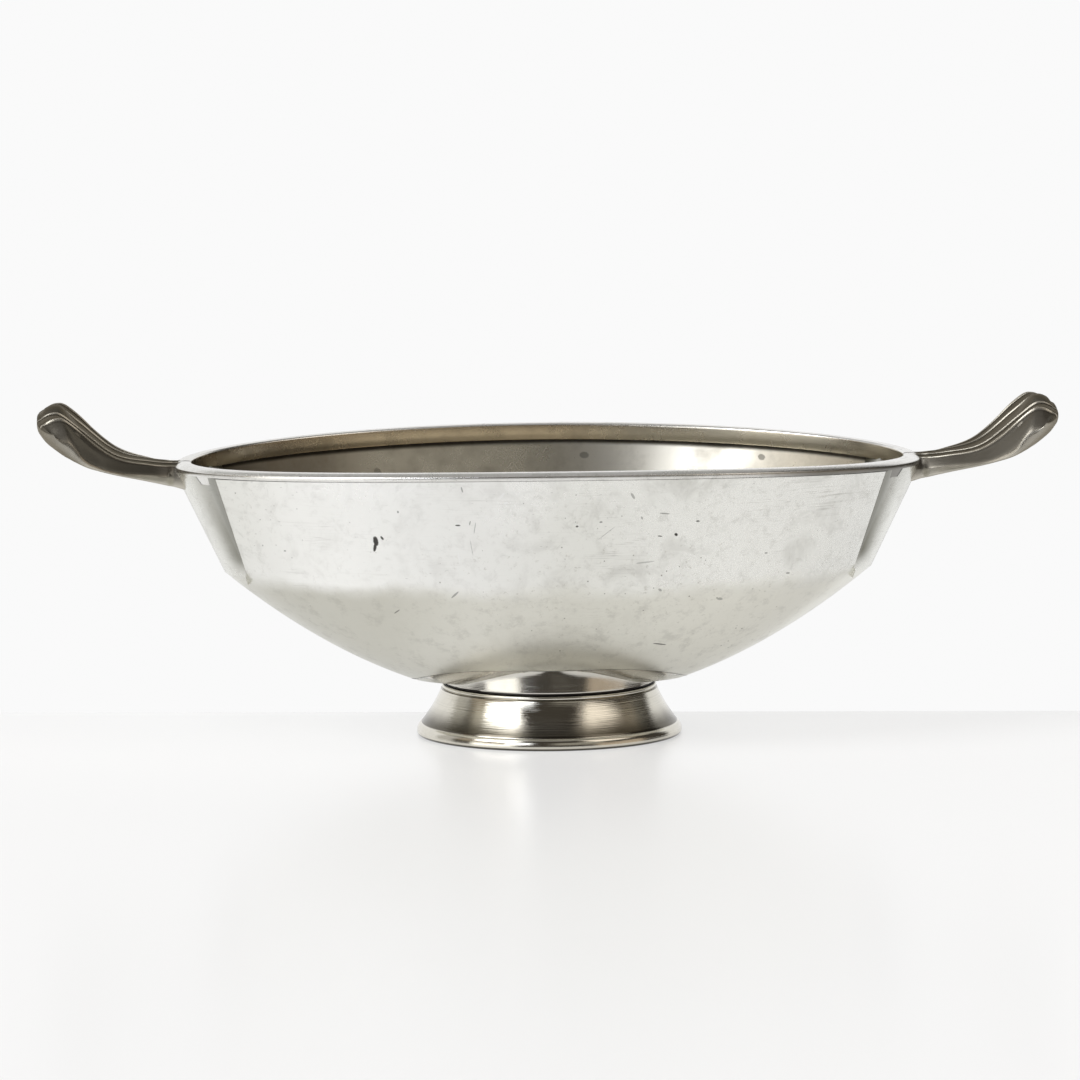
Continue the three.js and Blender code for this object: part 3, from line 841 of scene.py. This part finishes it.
def body_pewter():
    metal = Metal("body_pewter", (0.93, 0.93, 0.89), 0.27)
    x, y, z = metal.here()

    # The walls: painted light left of the middle, painted shade at the right
    metal.coat(metal.step(x, 0.015, -0.045) * metal.step(x, -0.125, -0.09) * 0.9, (1.0, 1.0, 0.985))
    metal.coat(metal.step(x, 0.045, 0.11) * 0.6, (0.82, 0.82, 0.79))
    worn(metal, (0.84, 0.84, 0.79))
    # More painted light left of the middle, laid over the wear
    metal.coat(metal.step(x, 0.01, -0.03) * metal.step(x, -0.125, -0.09) * 0.4, (1.0, 1.0, 0.99))

    # The dish: warmer painted shade, deeper at the left and towards the foot, with painted light at the
    # right
    dish = metal.step(z + (metal.noise(40, detail=3, seed=12) - 0.5) * 0.012, 0.0655, 0.0565)
    metal.coat(dish * 0.7, (0.70, 0.688, 0.61), rough=0.03)
    metal.coat(dish * metal.step(x, -0.025, -0.07) * 0.5, (0.5, 0.488, 0.42))
    metal.coat(dish * metal.step(x, 0.02, 0.07) * 0.5, (0.86, 0.845, 0.77))
    metal.coat(metal.step(z, 0.045, 0.024) * 0.1, (0.52, 0.5, 0.44))
    smudge = metal.patches(0.5, 0.68, 150, detail=5, rough=0.7, seed=14) * dish
    metal.coat(smudge * 0.24, (0.36, 0.35, 0.31), rough=0.1)

    # Fine dirt in crowds, and the single marks
    crowd = metal.patches(0.4, 0.62, 16, detail=3, seed=22)
    grain = metal.patches(0.57, 0.72, 430, detail=5, rough=0.75, seed=21)
    metal.coat(grain * crowd * 0.42, (0.34, 0.32, 0.26))
    specks = metal.specks(380, 0.15, 0.12, seed=23).most(metal.specks(240, 0.1, 0.12, seed=24))
    metal.coat(specks * crowd * 0.75, (0.12, 0.1, 0.075))
    fray = metal.noise(1500, detail=3, rough=0.65, seed=13)
    front = metal.step(y, 0.0, -0.01)
    metal.coat(metal.marks(DENTS, fray) * front, PIT, high=-2.0)
    metal.coat(metal.marks(MARKS, fray) * front, PIT)
    metal.coat(metal.marks(CHIPS, fray) * front, (0.95, 0.95, 0.94))

    # The inside: painted shade with stains, more at the left, a painted shadow under the rim's skirt
    inner_shade_and_stains(metal)
    inner = metal.share("inside")
    # More painted shade inside at the left
    metal.coat(inner * metal.step(x, -0.05, -0.09) * 0.6, (0.12, 0.105, 0.08))
    # Painted shadow in a band just under the rim's skirt
    under_rim_shadow = metal.step(level(x, z), 0.0988, 0.1004)
    metal.coat(under_rim_shadow * inner * 0.9, (0.03, 0.026, 0.02), rough=0.3)
    metal.coat(metal.marks(SMUDGES, fray) * metal.step(y, 0.0, 0.01) * inner, (0.03, 0.027, 0.02))
    return metal.finish()


def panel_pewter():
    metal = Metal("panel_pewter", (0.84, 0.84, 0.80), 0.26)
    worn(metal, (0.76, 0.755, 0.7))
    x, _, _ = metal.here()
    # Painted shade in the hollow beside each crease, a little stronger on the right panel
    hollow_shade = metal.share("hollow") * (metal.step(x, 0, 0.01) * 0.16 + 0.8)
    metal.coat(hollow_shade, (0.16, 0.155, 0.12), rough=0.04)
    inner_shade_and_stains(metal)
    return metal.finish()


def rim_pewter():
    metal = Metal("rim_pewter", (0.88, 0.87, 0.85), 0.24)
    worn(metal, (0.8, 0.79, 0.75), wear=0.8)
    x, y, z = metal.here()

    # The plug in the rim's top beside each handle, and the darker right part of the front edge
    plug_reach = 0.1348
    plug = metal.step((abs(x) - plug_reach).math('POWER', 2) * 0.35 + y * y, 0.0000035, 0.0000012)
    metal.coat(plug * 0.7, (0.16, 0.15, 0.13), rough=0.2, high=-1.0)
    face = metal.step(level(x, z), 0.1067, 0.1062) * metal.step(y, 0, -0.01) * metal.step(x, 0.06, 0.1)
    metal.coat(face * 0.85, (0.15, 0.14, 0.12), rough=0.1)

    # The skirt: warm painted reflection and shade with stains, more painted shade at the left, greyer at
    # the right
    inner_shade_and_stains(metal, (0.85, 0.72, 0.53), 0.95)
    inner = metal.share("inside")
    metal.coat(inner * metal.step(x, -0.05, -0.1) * 0.8, (0.14, 0.122, 0.095))
    metal.coat(inner * metal.step(x, 0.0, 0.05) * 0.75, (0.52, 0.51, 0.45))
    return metal.finish()


def handle_pewter():
    metal = Metal("handle_pewter", (0.56, 0.53, 0.46), 0.36)
    worn(metal, (0.42, 0.395, 0.34), wear=0.5)
    patina = metal.patches(0.36, 0.66, 46, detail=4, rough=0.6, seed=15)
    metal.coat(patina * 0.4, (0.2, 0.185, 0.155), rough=0.05)
    wear_and_shading = metal.share("wear_and_shading")
    # Darker between the ridges and as painted shade down the side, darkest in the grooves, lighter on the
    # worn ridges and as a painted reflection under the shank
    metal.coat(metal.step(wear_and_shading, 0.46, 0.2) * 0.8, (0.1, 0.092, 0.078), rough=0.08)
    metal.coat(metal.step(wear_and_shading, 0.1, 0.0) * 0.9, (0.025, 0.022, 0.018), rough=0.2)
    metal.coat(metal.step(wear_and_shading, 0.55, 0.95) * 0.8, (0.72, 0.69, 0.62))
    return metal.finish(strength=0.15, edges=(0.4, 0.37, 0.32))


def turning_lines(metal, strong=1.0):
    """Fine rings from the lathe."""
    rings = metal.noise(1.0, detail=4, rough=0.65, seed=16, scale=(3, 3, 2600))
    metal.height = metal.height + (rings - 0.5) * (0.9 * strong)
    metal.coat(metal.step(rings, 0.56, 0.74) * (0.35 * strong), (0.34, 0.32, 0.28), rough=0.08)


def collar_pewter():
    metal = Metal("collar_pewter", (0.66, 0.64, 0.59), 0.15)
    worn(metal, (0.55, 0.53, 0.47), wear=0.6)
    turning_lines(metal, 0.5)
    _, _, z = metal.here()
    metal.coat(metal.step(z, 0.0202, 0.0199), SEAM_SHADE, rough=0.2)
    return metal.finish()


def foot_pewter():
    metal = Metal("foot_pewter", (0.73, 0.7, 0.62), 0.08)
    worn(metal, (0.62, 0.595, 0.53), wear=0.6)
    turning_lines(metal)

    # Dark band low on the flare, line over it, joint with the collar, painted contact shadow at the
    # bottom
    _, _, z = metal.here()
    uneven = z + (metal.noise(50, detail=3, seed=17) - 0.5) * 0.004
    low_flare_band = metal.step(uneven, 0.0125, 0.0055) * metal.step(z, 0.0044, 0.0048)
    metal.coat(low_flare_band * 0.9, (0.07, 0.06, 0.042), rough=0.1)
    metal.coat(metal.step(abs(z - 0.0174), 0.00022, 0.0001) * 0.7, (0.08, 0.07, 0.06))
    metal.coat(metal.step(z, 0.0189, 0.0191), SEAM_SHADE, rough=0.2)
    # Painted contact shadow along the lowest edge
    metal.coat(metal.step(z, 0.0011, 0.0007) * 0.9, (0.04, 0.036, 0.03))
    return metal.finish()


BOARD_GLOW, GLOW_SHARE = (1.24, 1.242, 1.245), 0.4


def white_board():
    """A white board, partly evened out for the camera so that it stays as white as the backdrop."""
    board = Metal("white_board", (0.9, 0.9, 0.9), 0.22)
    board.coat(board.noise(60, detail=3) * 0.05, (0.8, 0.8, 0.8), rough=0.05)
    lit = board.shader(strength=0.05, metallic=0.0, specular=0.4)
    glow = board.node('Emission', Color=BOARD_GLOW).outputs[0]
    mixed = board.node('MixShader', Fac=board.rays('Camera', 'Glossy', 'Transmission') * GLOW_SHARE)
    board.put(mixed.inputs[1], lit)
    board.put(mixed.inputs[2], glow)
    board.node('OutputMaterial', Surface=mixed.outputs[0])
    return board.material


def give(piece, material):
    piece.data.materials.clear()
    piece.data.materials.append(material)


SMOOTH_DEGREES = 32
body_metal, panel_metal, rim_metal = body_pewter(), panel_pewter(), rim_pewter()
handle_metal, collar_metal, foot_metal = handle_pewter(), collar_pewter(), foot_pewter()
made = [
    (bowl_body(), "body_shell", "body", body_metal),
    (end_panel("panel_left", -1), "left_end_panel", "panels", panel_metal),
    (end_panel("panel_right", 1), "right_end_panel", "panels", panel_metal),
    (rim_ring("rim_ring"), "rim_band", "rim", rim_metal),
    (handle("handle_left", -1), "left_handle", "handles", handle_metal),
    (handle("handle_right", 1), "right_handle", "handles", handle_metal),
    (collar(), "neck_collar", "collar", collar_metal),
    (foot(), "foot_ring", "foot", foot_metal),
]
for piece, node, slot, metal in made:
    smooth(piece, SMOOTH_DEGREES)
    give(piece, metal)
    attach(piece, "root")
    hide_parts(node)

BOARD_REACH, BOARD_BACK = 3, 0.0525
BOARD_TURN = math.radians(-4.2)


def board_corner(right, back):
    """The board's back edge is turned until it lies level in the picture."""
    c, s = math.cos(BOARD_TURN), math.sin(BOARD_TURN)
    return right * c - back * s, right * s + back * c, 0


deselect()
bpy.ops.mesh.primitive_plane_add(size=2)
board = bpy.context.object
board.name = "board"
for vertex in board.data.vertices:
    back = BOARD_BACK if vertex.co.y > 0 else -BOARD_REACH
    vertex.co = board_corner(BOARD_REACH * vertex.co.x, back)
give(board, white_board())

# The room around the board, in degrees round from the camera and up: left, right, low, high, blur and
# colour of each patch, laid over those before it
ROOM = (0.062, 0.055, 0.046)
BACKDROP = (0.955, 0.955, 0.955)
LIGHTS = [
    (-190, -96, -11, 60, 5, (0.55, 0.54, 0.52)),
    (124, 190, -11, 34, 3, (0.95, 0.95, 0.94)),
    (-190, -118, -11, 34, 5, (0.95, 0.95, 0.95)),
    (150, 190, 34, 62, 4, (0.42, 0.42, 0.41)),
    (-190, -150, 34, 62, 4, (0.42, 0.42, 0.41)),
    (-96, -38, 16, 36, 4, (0.4, 0.35, 0.28)),
    (-74, -34, -2, 15, 4, (1.9, 1.87, 1.8)),
    (-40, -22, 18, 34, 4, (4.8, 5.0, 5.4)),
    (2, 46, 17, 32, 6, (0.46, 0.44, 0.39)),
    (-80, -40, 33, 62, 3, (5.0, 5.0, 5.0)),
    (40, 82, 33, 62, 2, (1.35, 1.24, 1.1)),
    (40, 88, -2, 17, 2, (0.6, 0.5, 0.39)),
    (-190, 190, 62, 95, 8, (0.4, 0.39, 0.38)),
    (-190, 190, -95, -12, 2, (0.95, 0.95, 0.95)),
    (-190, 190, -95, -45, 8, (0.6, 0.6, 0.6)),
]


def studio():
    """The lights, and the white backdrop behind the board for the camera and for reflections."""
    world = bpy.data.worlds.new("studio")
    bpy.context.scene.world = world
    world.use_nodes = True
    room = Nodes(world.node_tree)
    x, y, z = room.axes(room.node('TexCoord').outputs['Generated'])
    round_by = x.math('ARCTAN2', y * -1) * math.degrees(1)
    up_by = z.math('ARCSINE') * math.degrees(1)
    colour = ROOM
    for left, right, low, high, blur, light in LIGHTS:
        across = room.step(round_by, left - blur, left + blur)
        across = across * room.step(round_by, right + blur, right - blur)
        soft = blur / 2
        upright = room.step(up_by, low - soft, low + soft) * room.step(up_by, high + soft, high - soft)
        colour = room.blend(across * upright, colour, light)
    behind = room.step(y, 0.5, 0.8) * room.step(z, -0.18, -0.12) * room.step(z, 0.3, 0.25)
    white = room.rays('Camera').most(room.rays('Glossy', 'Transmission') * behind)
    colour = room.blend(white, colour, BACKDROP)
    room.node('OutputWorld', Surface=room.node('Background', Color=colour).outputs[0])


studio()

# Camera: a long lens, seven and a half degrees up, a little to the left and barely rolled
distance, aim = 4.478, Vector((-0.003, 0, 0.0725))
up, left, roll = math.radians(7.496), math.radians(2.0), math.radians(-0.42)
view = Vector((-math.sin(left) * math.cos(up), -math.cos(left) * math.cos(up), math.sin(up)))
lens = bpy.data.cameras.new("camera")
lens.lens, lens.sensor_width = 400, 36
lens.clip_end = 50
camera = bpy.data.objects.new("camera", lens)
bpy.context.scene.collection.objects.link(camera)
facing = (-view).to_track_quat('-Z', 'Y').to_matrix().to_4x4()
camera.matrix_world = Matrix.Translation(aim + view * distance) @ facing @ Matrix.Rotation(roll, 4, 'Z')
bpy.context.scene.camera = camera

bpy.context.scene.view_settings.view_transform = 'Standard'
